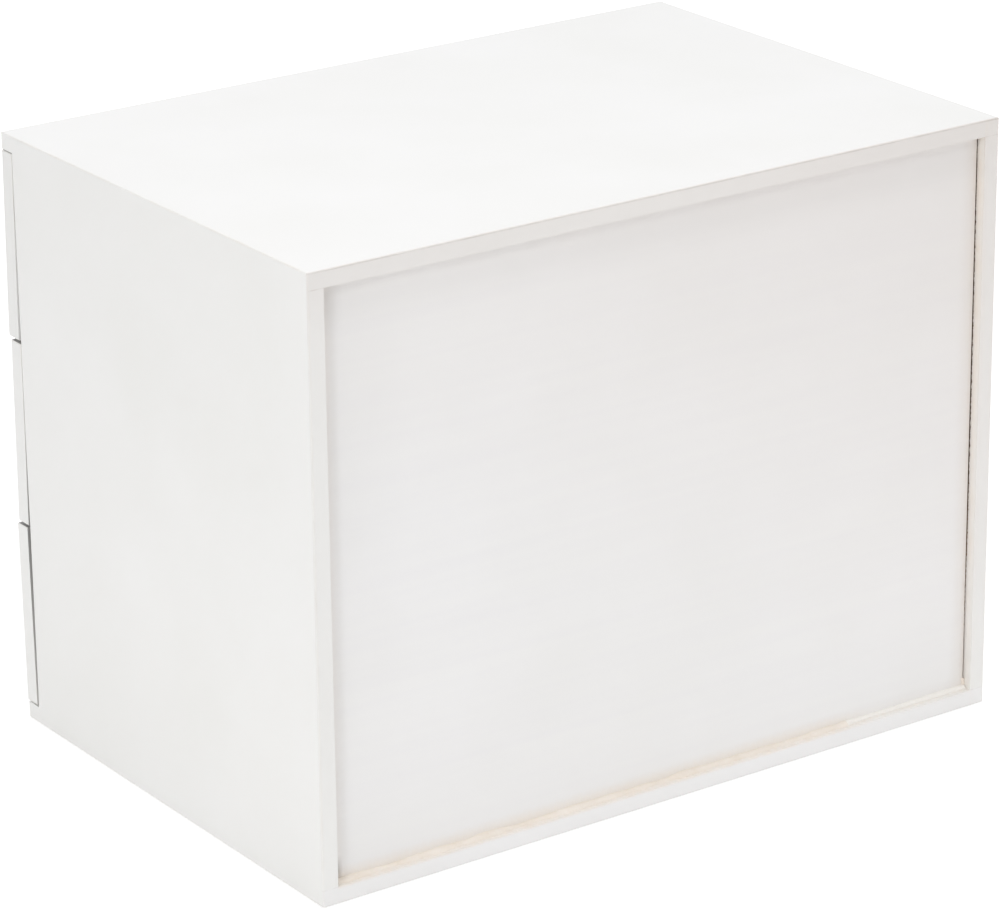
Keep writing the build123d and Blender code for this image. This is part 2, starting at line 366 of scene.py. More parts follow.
# Glue wiped off the foot of the back sheet has left a warm film on the ledge and over its arris. It
# gives out towards the left-hand end
film, blotch_size = fade["film"], 7 * mm
blotch = add(
    tree,
    "ShaderNodeTexNoise",
    {"Vector": place, "Scale": 1 / blotch_size, "Detail": 3, "Roughness": 0.6},
)
blotch = add(tree, "ShaderNodeMapRange", {"Value": blotch, **noise_span, "To Min": 0.45, "To Max": 1})
between = add(tree, "ShaderNodeMath", {0: width, 1: inner_high.x}, operation="LESS_THAN")
for share in (fade["wiped"], blotch, fade["scant"], between, fade["behind"]):
    film = add(tree, "ShaderNodeMath", {0: film, 1: share}, operation="MULTIPLY")
wear_and_light.append((film, "#EEE2D5"))
for share, tint in wear_and_light:
    outside = add(
        tree,
        "ShaderNodeMix",
        {"Factor": share, "A": outside, "B": linear(tint)},
        data_type="RGBA",
    )
# Painted shade: the bare board in the slit beside the back sheet is darkened brown, less towards its foot
slit = add(tree, "ShaderNodeMath", {0: fade["slit"], 1: fade["foot"]}, operation="MULTIPLY")
slit_shade_brown = "#3F3027"
bare_colour = add(
    tree,
    "ShaderNodeMix",
    {"Factor": slit, "A": bare_colour, "B": linear(slit_shade_brown)},
    data_type="RGBA",
)
open_air = add(tree, "ShaderNodeMath", {0: 1, 1: inside}, operation="SUBTRACT")
painted = add(tree, "ShaderNodeMath", {0: open_air, 1: recess}, operation="MAXIMUM")
part_painted(tree, shader, painted, (bare_colour, bare_height), (outside, coat_height))
for name in carcass_nodes:
    dress(name, paint)

# Dividers
# Two 5 mm fibreboard shelves, let into housings in the sides, which the upper drawers slide on.
# They stay bare, with a stroke of paint on the front edge, and are polished where the drawers run.
rub_width, rub_length, stroke_white = 3 * mm, 90 * mm, "#E6E2DC"
fibreboard, tree, place, shader = start_material("bare_fibreboard")
bare_colour, bare_height = bare_fibreboard(tree, place)
front_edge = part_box("lower_divider")[0].y
depth = add(tree, "ShaderNodeSeparateXYZ", {0: place}).node.outputs["Y"]
stroke = add(
    tree,
    "ShaderNodeMapRange",
    {
        "Value": depth,
        "From Min": front_edge + 0.1 * mm,
        "From Max": front_edge + 0.4 * mm,
        "To Min": 1,
        "To Max": 0,
    },
)
colour = add(
    tree,
    "ShaderNodeMix",
    {"Factor": stroke, "A": bare_colour, "B": linear(stroke_white)},
    data_type="RGBA",
)
rub = add(tree, "ShaderNodeMapping", {"Vector": place, "Scale": (1 / rub_width, 1 / rub_length, 1)})
rub = add(tree, "ShaderNodeTexNoise", {"Vector": rub, "Scale": 1, "Detail": 2})
gloss = add(tree, "ShaderNodeMapRange", {"Value": rub, **noise_span, "To Min": 0.85, "To Max": 0.6})
bump = add(tree, "ShaderNodeBump", {"Strength": 0.15, "Distance": 0.05 * mm, "Height": bare_height})
connect(tree, shader, colour, gloss, bump)
for name in ("lower_divider", "upper_divider"):
    dress(name, fibreboard)

# Back panel
# A 5 mm fibreboard sheet that stands in the recess, pinned through the top and the bottom, with a
# slit at each side. Its outer face is rolled white, mostly from side to side, and its inside is bare.
streak_length, streak_width, ragged_size = 210 * mm, 5 * mm, 2.2 * mm
streak_white, most_aged = "#E4E2E8", 0.26
sheet_paint, tree, place, shader = start_material("rolled_white_paint_on_back_sheet")
coat_colour, coat_height = white_coat(tree, place, carcass_low, carcass_high)
bare_colour, bare_height = bare_fibreboard(tree, place)
axes = add(tree, "ShaderNodeSeparateXYZ", {0: place}).node.outputs
streaks = add(
    tree,
    "ShaderNodeMapping",
    {"Vector": place, "Scale": (1 / streak_length, 1, 1 / streak_width)},
)
streaks = add(tree, "ShaderNodeTexNoise", {"Vector": streaks, "Scale": 1, "Detail": 4, "Roughness": 0.55})
streaks = add(
    tree,
    "ShaderNodeMapRange",
    {"Value": streaks, "From Min": 0.35, "From Max": 0.75, "To Min": 0.14, "To Max": 0.28},
)
rolled = add(
    tree,
    "ShaderNodeMix",
    {"Factor": streaks, "A": coat_colour, "B": linear(streak_white)},
    data_type="RGBA",
)
rolled = yellowed(tree, place, rolled, most_aged)
# Marks and painted shade are laid over the paint in this order, each a share and a tint
marks_and_shade = []
# Towards the slits the paint thins out raggedly, and a painted shade greys it
ragged = add(tree, "ShaderNodeTexNoise", {"Vector": place, "Scale": 1 / ragged_size, "Detail": 4})
ragged = add(
    tree,
    "ShaderNodeMapRange",
    {"Value": ragged, **noise_span, "To Min": -0.5 * mm, "To Max": 0.5 * mm},
)
reach = add(tree, "ShaderNodeMath", {0: axes["X"]}, operation="ABSOLUTE")
reach = add(tree, "ShaderNodeMath", {0: reach, 1: ragged}, operation="ADD")
raw_edge, painted_slit_shade = (
    add(
        tree,
        "ShaderNodeMapRange",
        {"Value": reach, "From Min": back_high.x + start, "From Max": back_high.x + end, "To Max": most},
        interpolation_type="SMOOTHSTEP",
    )
    for start, end, most in ((-2.4 * mm, 0.3 * mm, 0.13), (-9 * mm, 0, 0.3))
)
marks_and_shade.append((painted_slit_shade, "#D9CFC6"))
# Painted shade darkens the upper and the lower right-hand corner
painted_corner_shade = (
    ((147 * mm, 153.5 * mm), (back_high.z - 21 * mm, back_high.z - 3 * mm), 0.15, "#8F8A85"),
    ((153 * mm, 155.3 * mm), (back_low.z + 11 * mm, back_low.z + 4 * mm), 0.48, "#5F5B57"),
)
for (open_x, shaded_x), (open_z, shaded_z), most, tint in painted_corner_shade:
    across = add(
        tree,
        "ShaderNodeMapRange",
        {"Value": axes["X"], "From Min": open_x, "From Max": shaded_x, "To Max": most},
    )
    along = add(tree, "ShaderNodeMapRange", {"Value": axes["Z"], "From Min": open_z, "From Max": shaded_z})
    corner_shade_share = add(tree, "ShaderNodeMath", {0: across, 1: along}, operation="MULTIPLY")
    marks_and_shade.append((corner_shade_share, tint))
# Painted shade under the top board and along the right-hand side greys the sheet a little there
top_edge = back_high.z
painted_shade_bands = (
    ("Z", (top_edge - 22 * mm, top_edge - 12 * mm), (top_edge - 5 * mm, top_edge - 2.5 * mm),
     "X", (-150 * mm, 150 * mm), (0.05, 0.028)),
    ("X", (118 * mm, 146 * mm), (148 * mm, 153 * mm), "Z", (60 * mm, 165 * mm), (0.018, 0.05)),
)
for axis, (thin, full), (fading, gone), other_axis, (first, last), (first_share, last_share) in painted_shade_bands:
    shade_share = add(tree, "ShaderNodeMapRange", {"Value": axes[axis], "From Min": thin, "From Max": full})
    fall = add(
        tree,
        "ShaderNodeMapRange",
        {"Value": axes[axis], "From Min": fading, "From Max": gone, "To Min": 1, "To Max": 0},
    )
    depth = add(
        tree,
        "ShaderNodeMapRange",
        {
            "Value": axes[other_axis],
            "From Min": first,
            "From Max": last,
            "To Min": first_share,
            "To Max": last_share,
        },
    )
    for share in (fall, depth):
        shade_share = add(tree, "ShaderNodeMath", {0: shade_share, 1: share}, operation="MULTIPLY")
    marks_and_shade.append((shade_share, "#8F8A85"))
# Glue has stained the foot of the sheet, and part of the warm tint is painted light bounced up off the
# ledge
glue_stain_and_bounce = add(tree, "ShaderNodeMath", {0: axes["Z"], 1: ragged}, operation="ADD")
glue_stain_and_bounce = add(
    tree,
    "ShaderNodeMapRange",
    {"Value": glue_stain_and_bounce, "From Min": back_low.z, "From Max": back_low.z + 7 * mm, "To Min": 0.3, "To Max": 0},
    interpolation_type="SMOOTHSTEP",
)
scant = add(
    tree,
    "ShaderNodeMapRange",
    {"Value": axes["X"], "From Min": glue_stop, "From Max": glue_start, "To Min": 0.25, "To Max": 1},
)
glue_stain_and_bounce = add(tree, "ShaderNodeMath", {0: glue_stain_and_bounce, 1: scant}, operation="MULTIPLY")
marks_and_shade.append((glue_stain_and_bounce, "#E8D3B9"))
for share, tint in marks_and_shade:
    rolled = add(
        tree,
        "ShaderNodeMix",
        {"Factor": share, "A": rolled, "B": linear(tint)},
        data_type="RGBA",
    )
behind = add(
    tree,
    "ShaderNodeMapRange",
    {"Value": axes["Y"], "From Min": sheet_face - 1 * mm, "From Max": sheet_face - 0.05 * mm},
)
kept = add(tree, "ShaderNodeMath", {0: 1, 1: raw_edge}, operation="SUBTRACT")
painted = add(tree, "ShaderNodeMath", {0: behind, 1: kept}, operation="MULTIPLY")
part_painted(tree, shader, painted, (bare_colour, bare_height), (rolled, coat_height))
dress("back_panel", sheet_paint)

# Glue and paint beads
# Wood glue squeezed out under the foot of the back panel and dried pale, with a few thicker drops.
# Towards the left-hand end a bead of the white paint has filled the corner instead, and a last run of
# glue has closed the foot of the slit there.
bead_step, sway_length, swell_length, ring_points = 0.9 * mm, 18 * mm, 16 * mm, 14
bead_tree = bpy.data.node_groups.new("squeezed_bead", "GeometryNodeTree")
bead_tree.interface.new_socket("Bead", in_out="OUTPUT", socket_type="NodeSocketGeometry")
bead_kinds = {
    "Start": "Vector", "End": "Vector", "Radius": "Float", "Wander": "Float", "Least": "Float",
    "Most": "Float", "Profile": "Vector", "Drops": "Int", "Drop radius": "Float", "Seed": "Int",
    "Finish": "Material",
}
bead_inputs = {
    name: bead_tree.interface.new_socket(name, in_out="INPUT", socket_type=f"NodeSocket{kind}").identifier
    for name, kind in bead_kinds.items()
}
given = add(bead_tree, "NodeGroupInput", {}).node.outputs
line = add(bead_tree, "GeometryNodeCurvePrimitiveLine", {"Start": given["Start"], "End": given["End"]})
line = add(bead_tree, "GeometryNodeResampleCurve", {"Curve": line, "Length": bead_step}, mode="LENGTH")
where = add(bead_tree, "GeometryNodeInputPosition", {})
sway = add(bead_tree, "ShaderNodeTexNoise", {"Vector": where, "Scale": 1 / sway_length, "Detail": 2})
sway = sway.node.outputs["Color"]
sway = add(bead_tree, "ShaderNodeVectorMath", {0: sway, 1: (0.5, 0.5, 0.5)}, operation="SUBTRACT")
sway = add(bead_tree, "ShaderNodeVectorMath", {0: sway, "Scale": given["Wander"]}, operation="SCALE")
line = add(bead_tree, "GeometryNodeSetPosition", {"Geometry": line, "Offset": sway})
swell = add(bead_tree, "ShaderNodeTexNoise", {"Vector": where, "Scale": 1 / swell_length, "Detail": 2})
swell = add(
    bead_tree,
    "ShaderNodeMapRange",
    {"Value": swell, **noise_span, "To Min": given["Least"], "To Max": given["Most"]},
)
ring = add(
    bead_tree,
    "GeometryNodeCurvePrimitiveCircle",
    {"Resolution": ring_points, "Radius": given["Radius"]},
)
ring = add(bead_tree, "GeometryNodeTransform", {"Geometry": ring, "Scale": given["Profile"]})
tube = add(
    bead_tree,
    "GeometryNodeCurveToMesh",
    {"Curve": line, "Profile Curve": ring, "Scale": swell, "Fill Caps": True},
)
along = add(bead_tree, "FunctionNodeRandomValue", {"Min": 0.03, "Max": 0.97, "Seed": given["Seed"]})
spots = add(
    bead_tree,
    "ShaderNodeMix",
    {"Factor": along, "A": given["Start"], "B": given["End"]},
    data_type="VECTOR",
)
spots = add(bead_tree, "GeometryNodePoints", {"Count": given["Drops"], "Position": spots})
drop = add(bead_tree, "GeometryNodeMeshIcoSphere", {"Radius": given["Drop radius"], "Subdivisions": 3})
girth = add(bead_tree, "FunctionNodeRandomValue", {"Min": 0.5, "Max": 1.0, "Seed": given["Seed"]})
drops = add(
    bead_tree,
    "GeometryNodeInstanceOnPoints",
    {"Points": spots, "Instance": drop, "Scale": girth},
)
bead = add(bead_tree, "GeometryNodeJoinGeometry", {0: tube})
bead_tree.links.new(drops, bead.node.inputs[0])
bead = add(bead_tree, "GeometryNodeRealizeInstances", {0: bead})
bead = add(bead_tree, "GeometryNodeSetShadeSmooth", {0: bead})
bead = add(bead_tree, "GeometryNodeSetMaterial", {0: bead, "Material": given["Finish"]})
add(bead_tree, "NodeGroupOutput", {0: bead})

# Dried wood glue: a cream skin with a dull shine, warmer where it is thick
thick_size, glue_ior, thin_glue, thick_glue = 9 * mm, 1.48, "#EFE8E0", "#E9DFD3"
glue, tree, place, shader = start_material("dried_wood_glue")
thick = add(tree, "ShaderNodeTexNoise", {"Vector": place, "Scale": 1 / thick_size, "Detail": 3})
thick = add(tree, "ShaderNodeMapRange", {"Value": thick, **noise_span})
colour = add(
    tree,
    "ShaderNodeMix",
    {"Factor": thick, "A": linear(thin_glue), "B": linear(thick_glue)},
    data_type="RGBA",
)
gloss = add(tree, "ShaderNodeMapRange", {"Value": thick, "To Min": 0.38, "To Max": 0.55})
connect(tree, shader, colour, gloss, ior=glue_ior)
# The same satin paint as the boards, run into the corner: smooth, with a faint skin of wrinkles
wrinkle, run_ior, run_white, run_shade = 1.5 * mm, 1.5, "#F3F1EE", "#EEEAE4"
run_paint, tree, place, shader = start_material("satin_white_paint_run")
skin = add(tree, "ShaderNodeTexNoise", {"Vector": place, "Scale": 1 / wrinkle, "Detail": 3})
colour = add(
    tree,
    "ShaderNodeMix",
    {"Factor": skin, "A": linear(run_white), "B": linear(run_shade)},
    data_type="RGBA",
)
gloss = add(tree, "ShaderNodeMapRange", {"Value": skin, **noise_span, "To Min": 0.36, "To Max": 0.5})
bump = add(tree, "ShaderNodeBump", {"Strength": 0.2, "Distance": 0.1 * mm, "Height": skin})
connect(tree, shader, colour, gloss, bump, run_ior)

# The glue lies bedded in the corner, so that its flank runs out flat on the ledge
corner_y, corner_z, bed_z = sheet_face + 0.15 * mm, ledge_z + 0.1 * mm, ledge_z - 1.1 * mm
meet_x, slit_x, slit_y = -94 * mm, inner_low.x + 0.35 * mm, sheet_face - 0.2 * mm
beads = {
    "glue_bead": {
        "Start": (inner_high.x - 1.5 * mm, corner_y, bed_z), "End": (meet_x, corner_y, bed_z),
        "Radius": 1.3 * mm, "Wander": 0.5 * mm, "Least": 0.75, "Most": 1.25, "Profile": (1.9, 1.7, 1),
        "Drops": 8, "Drop radius": 2.3 * mm, "Seed": 4, "Finish": glue,
    },
    "paint_bead": {
        "Start": (meet_x + 1 * mm, corner_y, corner_z), "End": (slit_x, corner_y, corner_z),
        "Radius": 1.3 * mm, "Wander": 0.4 * mm, "Least": 0.8, "Most": 1.2, "Profile": (1.3, 0.95, 1),
        "Drops": 0, "Drop radius": 1.2 * mm, "Seed": 2, "Finish": run_paint,
    },
    "slit_run": {
        "Start": (slit_x, slit_y, corner_z), "End": (slit_x, slit_y, corner_z + 4 * mm),
        "Radius": 0.8 * mm, "Wander": 0.2 * mm, "Least": 0.8, "Most": 1.2, "Profile": (1, 1, 1),
        "Drops": 1, "Drop radius": 1.2 * mm, "Seed": 5, "Finish": glue,
    },
}
for name, settings in beads.items():
    blank = bpy.data.objects.new(f"{name}_blank", bpy.data.meshes.new(f"{name}_blank"))
    bpy.context.scene.collection.objects.link(blank)
    modifier = blank.modifiers.new("bead", "NODES")
    modifier.node_group = bead_tree
    for key, value in settings.items():
        modifier[bead_inputs[key]] = value
    solid = bpy.data.meshes.new_from_object(blank.evaluated_get(bpy.context.evaluated_depsgraph_get()))
    bpy.data.objects.remove(blank)
    solid.name = name
    bead = bpy.data.objects.new(name, solid)
    bpy.context.scene.collection.objects.link(bead)
    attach(bead, "carcass")

# Brads
# Drawn steel wire, headed and zinc plated, which pins the boards together.
# The plating gives a grey metal with a slightly cloudy shine.
plating_cloud, cool_zinc, warm_zinc = 0.8 * mm, "#B4B7BA", "#C9C8C2"
zinc, tree, place, shader = start_material("zinc_plated_steel")
cloudy = add(tree, "ShaderNodeTexNoise", {"Vector": place, "Scale": 1 / plating_cloud, "Detail": 3})
colour = add(
    tree,
    "ShaderNodeMix",
    {"Factor": cloudy, "A": linear(cool_zinc), "B": linear(warm_zinc)},
    data_type="RGBA",
)
gloss = add(tree, "ShaderNodeMapRange", {"Value": cloudy, **noise_span, "To Min": 0.25, "To Max": 0.42})
connect(tree, shader, colour, gloss)
shader.inputs["Metallic"].default_value = 1
dress("carcass_brads", zinc)

# Drawer fronts
# Fibreboard planks, eased round the face and painted like the carcass on the face and the edges.
# The inner face, which the drawer box is let into, stays bare but for its ends. Painted shade darkens the
# slits.
drawers = ("bottom", "middle", "top")
slit_shade_tint, end_shade_tint, end_x = "#3B3836", "#8E8E93", carcass_high.x
# Painted shade on the ends of each front's upper edge, and on its end faces, more on the upper fronts
upper_edge_shade = {"bottom": 0.72, "middle": 0.72, "top": 0.35}
end_shade = {"bottom": 0, "middle": 0.02, "top": 0.045}
# The painted shade in the slits is deepest about the joint between the two lower drawers. Each has its
# share at the front's foot, its share above and the height at which that is reached
front_slit_shade = {"bottom": (0.25, 0.6, 75 * mm), "middle": (0.6, 0.02, 40 * mm), "top": (0.05, 0, 40 * mm)}
for drawer in drawers:
    front = f"{drawer}_drawer_front"
    front_paint, tree, place, shader = start_material(f"satin_white_paint_{front}")
    coat_colour, coat_height = white_coat(tree, place, *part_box(front))
    bare_colour, bare_height = bare_fibreboard(tree, place)
    facing = add(tree, "ShaderNodeNewGeometry", {}).node.outputs["True Normal"]
    facing = add(tree, "ShaderNodeSeparateXYZ", {0: facing}).node.outputs
    axes = add(tree, "ShaderNodeSeparateXYZ", {0: place}).node.outputs
    width = add(tree, "ShaderNodeMath", {0: axes["X"]}, operation="ABSOLUTE")
    # The inner face: bare in the middle, painted at the ends that lap the side panels, with painted shade
    # there
    shade_foot, shade_head, shade_reach = front_slit_shade[drawer]
    foot_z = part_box(front)[0].z
    shade_share = add(
        tree,
        "ShaderNodeMapRange",
        {
            "Value": axes["Z"],
            "From Min": foot_z,
            "From Max": foot_z + shade_reach,
            "To Min": shade_foot,
            "To Max": shade_head,
        },
    )
    inner_end = add(
        tree,
        "ShaderNodeMix",
        {"Factor": shade_share, "A": coat_colour, "B": linear(slit_shade_tint)},
        data_type="RGBA",
    )
    lapped = add(
        tree,
        "ShaderNodeMapRange",
        {"Value": width, "From Min": end_x - 4 * mm, "From Max": end_x - 3 * mm},
    )
    inner = add(
        tree,
        "ShaderNodeMix",
        {"Factor": lapped, "A": bare_colour, "B": inner_end},
        data_type="RGBA",
    )
    # The face and the edges: painted shade darkens the ends of the upper edge, in the gaps, and the end
    # faces
    gap_shade = add(
        tree,
        "ShaderNodeMapRange",
        {"Value": width, "From Min": end_x - 6 * mm, "From Max": end_x - 2.5 * mm},
    )
    upward = add(tree, "ShaderNodeMapRange", {"Value": facing["Z"], "From Min": 0.8, "From Max": 0.9})
    for share in (upward, upper_edge_shade[drawer]):
        gap_shade = add(tree, "ShaderNodeMath", {0: gap_shade, 1: share}, operation="MULTIPLY")
    outward = add(tree, "ShaderNodeMath", {0: facing["X"]}, operation="ABSOLUTE")
    end_shaded = add(
        tree,
        "ShaderNodeMapRange",
        {"Value": outward, "From Min": 0.8, "From Max": 0.9, "To Max": end_shade[drawer]},
    )
    for share, tint in ((gap_shade, slit_shade_tint), (end_shaded, end_shade_tint)):
        coat_colour = add(
            tree,
            "ShaderNodeMix",
            {"Factor": share, "A": coat_colour, "B": linear(tint)},
            data_type="RGBA",
        )
    painted = add(
        tree,
        "ShaderNodeMapRange",
        {"Value": facing["Y"], "From Min": 0.5, "From Max": 0.6, "To Min": 1, "To Max": 0},
    )
    part_painted(tree, shader, painted, (inner, bare_height), (coat_colour, coat_height))
    dress(front, front_paint)

# Drawer boxes
# Sides and backs planed from 6 mm paulownia, a pale light wood, with their upper edges eased. The
# sides are let into the front and the back is pinned between them. The wood is left bare.


def paulownia(name, length_axis):
    """Pale planed wood: broad honey growth bands, thin darker lines and open pores along the board."""
    band, band_length, pore, pore_length = 7 * mm, 190 * mm, 0.45 * mm, 16 * mm
    pale_wood, honey_wood, pore_brown = "#E3CCA8", "#D1B184", "#B8966A"
    material, tree, place, shader = start_material(name)
    band_scale = [1 / band] * 3
    band_scale[length_axis] = 1 / band_length
    pore_scale = [1 / pore] * 3
    pore_scale[length_axis] = 1 / pore_length
    bands = add(tree, "ShaderNodeMapping", {"Vector": place, "Scale": band_scale})
    bands = add(tree, "ShaderNodeTexNoise", {"Vector": bands, "Scale": 1, "Detail": 3, "Distortion": 0.4})
    bands = add(tree, "ShaderNodeMapRange", {"Value": bands, "From Min": 0.3, "From Max": 0.72})
    pores = add(tree, "ShaderNodeMapping", {"Vector": place, "Scale": pore_scale})
    pores = add(tree, "ShaderNodeTexNoise", {"Vector": pores, "Scale": 1, "Detail": 2})
    pores = add(tree, "ShaderNodeMapRange", {"Value": pores, "From Min": 0.52, "From Max": 0.75})
    wood = add(
        tree,
        "ShaderNodeMix",
        {"Factor": bands, "A": linear(pale_wood), "B": linear(honey_wood)},
        data_type="RGBA",
    )
    colour = add(
        tree,
        "ShaderNodeMix",
        {"Factor": pores, "A": wood, "B": linear(pore_brown)},
        data_type="RGBA",
    )
    gloss = add(tree, "ShaderNodeMapRange", {"Value": bands, "To Min": 0.55, "To Max": 0.7})
    bump = add(tree, "ShaderNodeBump", {"Strength": 0.25, "Distance": -0.05 * mm, "Height": pores})
    connect(tree, shader, colour, gloss, bump)
    return material


side_wood = paulownia("planed_paulownia_sides", 1)
back_wood = paulownia("planed_paulownia_backs", 0)
for drawer in drawers:
    dress(f"{drawer}_drawer_left_side", side_wood)
    dress(f"{drawer}_drawer_right_side", side_wood)
    dress(f"{drawer}_drawer_back", back_wood)
    dress(f"{drawer}_drawer_brads", zinc)

# Drawer floors
# Three-ply birch, 3 mm thick, slid into grooves from the rear and pinned up into the drawer back.
# Its faces are sanded veneer with long pale flames, and its edge shows the darker middle ply.
flame_length, flame_width, pore_length, pore_width = 240 * mm, 16 * mm, 9 * mm, 0.5 * mm
pale_birch, flame_birch, pore_tint, core_tint = "#E6D2B0", "#D8BD92", "#BF9F74", "#B08D60"
for drawer in drawers:
    floor = f"{drawer}_drawer_floor"
    ply_low, ply_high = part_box(floor)
    ply, tree, place, shader = start_material(f"birch_ply_{floor}")
    flames = add(
        tree,
        "ShaderNodeMapping",
        {"Vector": place, "Scale": (1 / flame_length, 1 / flame_width, 1)},
    )
    flames = add(tree, "ShaderNodeTexNoise", {"Vector": flames, "Scale": 1, "Detail": 3, "Distortion": 0.8})
    flames = add(tree, "ShaderNodeMapRange", {"Value": flames, **noise_span})
    pores = add(
        tree,
        "ShaderNodeMapping",
        {"Vector": place, "Scale": (1 / pore_length, 1 / pore_width, 1)},
    )
    pores = add(tree, "ShaderNodeTexNoise", {"Vector": pores, "Scale": 1, "Detail": 2})
    pores = add(
        tree,
        "ShaderNodeMapRange",
        {"Value": pores, "From Min": 0.55, "From Max": 0.8, "To Max": 0.6},
    )
    veneer = add(
        tree,
        "ShaderNodeMix",
        {"Factor": flames, "A": linear(pale_birch), "B": linear(flame_birch)},
        data_type="RGBA",
    )
    height = add(tree, "ShaderNodeSeparateXYZ", {0: place}).node.outputs["Z"]
    core = add(tree, "ShaderNodeMath", {0: height, 1: (ply_low.z + ply_high.z) / 2}, operation="SUBTRACT")
    core = add(tree, "ShaderNodeMath", {0: core}, operation="ABSOLUTE")
    half_ply = (ply_high.z - ply_low.z) / 6
    core = add(tree, "ShaderNodeMath", {0: core, 1: half_ply}, operation="LESS_THAN")
    for share, tint in ((pores, pore_tint), (core, core_tint)):
        veneer = add(
            tree,
            "ShaderNodeMix",
            {"Factor": share, "A": veneer, "B": linear(tint)},
            data_type="RGBA",
        )
    gloss = add(tree, "ShaderNodeMapRange", {"Value": flames, "To Min": 0.5, "To Max": 0.65})
    bump = add(tree, "ShaderNodeBump", {"Strength": 0.2, "Distance": -0.04 * mm, "Height": pores})
    connect(tree, shader, veneer, gloss, bump)
    dress(floor, ply)

# Knobs and their screws
# Turned beech under white lacquer, pulled onto the front by a screw from inside the drawer. The lacquer
# is glossier than the rolled paint and shows faint rings from the lathe, drawn wide enough to be seen.
ring_spacing, lacquer_cloud, lacquer_ior = 2.4 * mm, 18 * mm, 1.5
lacquer_white, lacquer_shade = "#EEEDEB", "#EBE9E6"
for drawer in drawers:
    knob = f"{drawer}_drawer_knob"
    knob_low, knob_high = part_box(knob)
    lacquer, tree, place, shader = start_material(f"white_lacquer_{knob}")
    centred = add(tree, "ShaderNodeMapping", {"Vector": place, "Location": -(knob_low + knob_high) / 2})
    flat = add(tree, "ShaderNodeVectorMath", {0: centred, 1: (1, 0, 1)}, operation="MULTIPLY")
    radius = add(tree, "ShaderNodeVectorMath", {0: flat}, operation="LENGTH")
    rings = add(tree, "ShaderNodeMath", {0: radius, 1: math.tau / ring_spacing}, operation="MULTIPLY")
    rings = add(tree, "ShaderNodeMath", {0: rings}, operation="SINE")
    cloud = add(tree, "ShaderNodeTexNoise", {"Vector": place, "Scale": 1 / lacquer_cloud, "Detail": 2})
    colour = add(
        tree,
        "ShaderNodeMix",
        {"Factor": cloud, "A": linear(lacquer_white), "B": linear(lacquer_shade)},
        data_type="RGBA",
    )
    gloss = add(tree, "ShaderNodeMapRange", {"Value": cloud, **noise_span, "To Min": 0.22, "To Max": 0.27})
    bump = add(tree, "ShaderNodeBump", {"Strength": 0.06, "Distance": 0.02 * mm, "Height": rings})
    connect(tree, shader, colour, gloss, bump, lacquer_ior)
    dress(knob, lacquer)
    dress(f"{drawer}_drawer_knob_screw", zinc)

# Floor
# A wide white sweep that the box stands on. Seen straight or in a reflection it is lifted to white,
# and keeps half the depth of the box's shadow. Far from the box it is white all over.
floor_half, floor_drop = 3.0, 0.2 * mm
near_lift, near_end, white_start = 0.62, 0.5, 1.4


def seen_straight(tree):
    """1 for rays that the camera sees, mirrored ones too, and 0 for light that falls on a piece."""
    path = add(tree, "ShaderNodeLightPath", {}).node.outputs
    straight = path["Is Camera Ray"]
    for ray in ("Is Glossy Ray", "Is Transmission Ray"):
        straight = add(tree, "ShaderNodeMath", {0: straight, 1: path[ray]}, operation="MAXIMUM")
    return straight


floor_mesh = bpy.data.meshes.new("studio_floor")
corner_signs = ((-1, -1), (1, -1), (1, 1), (-1, 1))
corners = [(x * floor_half, y * floor_half, -floor_drop) for x, y in corner_signs]
floor_mesh.from_pydata(corners, [], [(0, 1, 2, 3)])
studio_floor = bpy.data.objects.new("studio_floor", floor_mesh)
bpy.context.scene.collection.objects.link(studio_floor)
sweep = bpy.data.materials.new("white_paper_sweep")
sweep.use_nodes = True
tree = sweep.node_tree
tree.nodes.clear()
lit = add(tree, "ShaderNodeBsdfDiffuse", {"Color": (0.93, 0.93, 0.93, 1)})
shaded = add(tree, "ShaderNodeBsdfDiffuse", {"Color": (0.5, 0.5, 0.5, 1)})
distance = add(tree, "ShaderNodeTexCoord", {}).node.outputs["Object"]
distance = add(tree, "ShaderNodeVectorMath", {0: distance}, operation="LENGTH")
bright = add(
    tree,
    "ShaderNodeMapRange",
    {"Value": distance, "From Min": near_end, "From Max": white_start, "To Min": near_lift, "To Max": 1},
)
lift = add(tree, "ShaderNodeEmission", {"Color": (1, 1, 1, 1), "Strength": bright})
seen = add(tree, "ShaderNodeAddShader", {0: shaded, 1: lift})
surface = add(tree, "ShaderNodeMixShader", {0: seen_straight(tree), 1: lit, 2: seen})
add(tree, "ShaderNodeOutputMaterial", {"Surface": surface})
floor_mesh.materials.append(sweep)

# Studio light
# A white tent all round, a wide softbox overhead, smaller ones round the box, a low strip light before
# each face and a finer one at the foot of the right and the rear face. The softbox off the rear
# right-hand corner shades the recess round the back panel.
world = bpy.data.worlds.new("white_tent")
bpy.context.scene.world = world
world.use_nodes = True
tree = world.node_tree
tree.nodes.clear()
tent = add(tree, "ShaderNodeBackground", {"Color": (1, 1, 1, 1), "Strength": 0.53})
white = add(tree, "ShaderNodeBackground", {"Color": (1, 1, 1, 1), "Strength": 1})
surface = add(tree, "ShaderNodeMixShader", {0: seen_straight(tree), 1: tent, 2: white})
add(tree, "ShaderNodeOutputWorld", {"Surface": surface})


def softbox(name, place, target, size, watts, tint):
    """A lamp of some width and height at a place, turned towards a target and not seen itself."""
    lamp = bpy.data.lights.new(name, "AREA")
    lamp.shape = "RECTANGLE"
    lamp.size, lamp.size_y = size
    lamp.energy = watts
    lamp.color = linear(tint)[:3]
    holder = bpy.data.objects.new(name, lamp)
    holder.location = place
    holder.rotation_euler = (Vector(target) - Vector(place)).to_track_quat("-Z", "Y").to_euler()
    holder.visible_camera = False
    bpy.context.scene.collection.objects.link(holder)


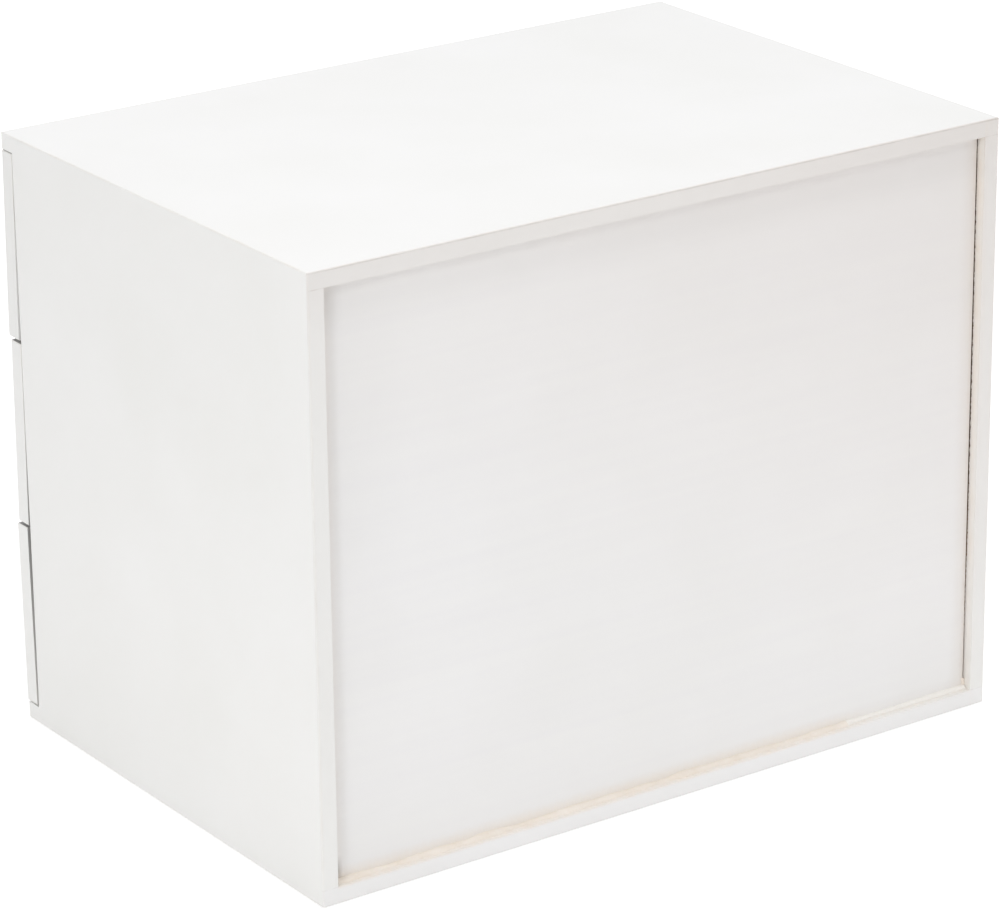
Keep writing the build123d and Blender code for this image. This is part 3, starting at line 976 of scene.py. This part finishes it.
# Each softbox has its place, target, width and height, watts and tint
warm_tint = "#FFFCF8"
softboxes = {
    "overhead": ((0, 0, 1.8), (0, 0, 0.2), (1.6, 1.6), 13.4, "#FCFCFF"),
    "corner": ((1.15, 0.66, 0.75), (0.05, 0.05, 0.12), (0.28, 0.28), 3.9, "#FFFDFA"),
    "rear": ((-0.35, 0.95, 1.3), (0, 0.1, 0.15), (0.3, 0.3), 1.3, warm_tint),
    "front": ((-0.05, -1.2, 0.15), (-0.05, -0.1, 0.12), (0.3, 0.2), 1.7, warm_tint),
    "left": ((-1.2, -0.02, 0.15), (-0.1, -0.02, 0.12), (0.2, 0.2), 1.3, warm_tint),
}
for name, settings in softboxes.items():
    softbox(f"{name}_softbox", *settings)
# Each strip has the way its face looks, its gap, height and shift along the face, its size and its watts
lit_height = 0.03
strips = {
    "right": ((1, 0), 0.25, 0.012, -0.06, (0.5, 0.08), 0.045),
    "right_foot": ((1, 0), 0.14, 0.006, 0.02, (0.4, 0.02), 0.014),
    "rear": ((0, 1), 0.45, 0.05, -0.1, (0.5, 0.08), 0.19),
    "rear_foot": ((0, 1), 0.14, 0.006, -0.02, (0.5, 0.02), 0.017),
    "left": ((-1, 0), 0.45, 0.05, 0, (0.5, 0.08), 0.16),
    "front": ((0, -1), 0.45, 0.05, 0, (0.5, 0.08), 0.18),
}
for side, ((x, y), gap, rise, shift, size, watts) in strips.items():
    face = Vector((x * carcass_high.x, y * carcass_high.y, lit_height + rise / 2))
    strip = Vector((face.x + x * gap + abs(y) * shift, face.y + y * gap + abs(x) * shift, rise))
    softbox(f"{side}_strip_light", strip, face, size, watts, warm_tint)

# Camera
# It stands behind the box to its right and looks a little down, with a long lens. Its angles, its
# distance and its aim are fitted to the corners that the photo shows.
azimuth, elevation, roll = math.radians(145.054), math.radians(20.606), math.radians(-0.625)
stand_off, lens, aim = 1898.2 * mm, 166.56, Vector((1.96, 0, 114.37)) * mm
flat_share = math.cos(elevation)
back = Vector((math.sin(azimuth) * flat_share, -math.cos(azimuth) * flat_share, math.sin(elevation)))
right = Vector((0, 0, 1)).cross(back).normalized()
up = back.cross(right)
turned_right = math.cos(roll) * right + math.sin(roll) * up
turned_up = math.cos(roll) * up - math.sin(roll) * right
camera_data = bpy.data.cameras.new("camera")
camera_data.sensor_fit = "HORIZONTAL"
camera_data.lens = lens
camera = bpy.data.objects.new("camera", camera_data)
turn = Matrix((turned_right, turned_up, back)).transposed()
camera.matrix_world = Matrix.Translation(aim + back * stand_off) @ turn.to_4x4()
bpy.context.scene.collection.objects.link(camera)
bpy.context.scene.camera = camera
bpy.context.scene.view_settings.view_transform = "Standard"
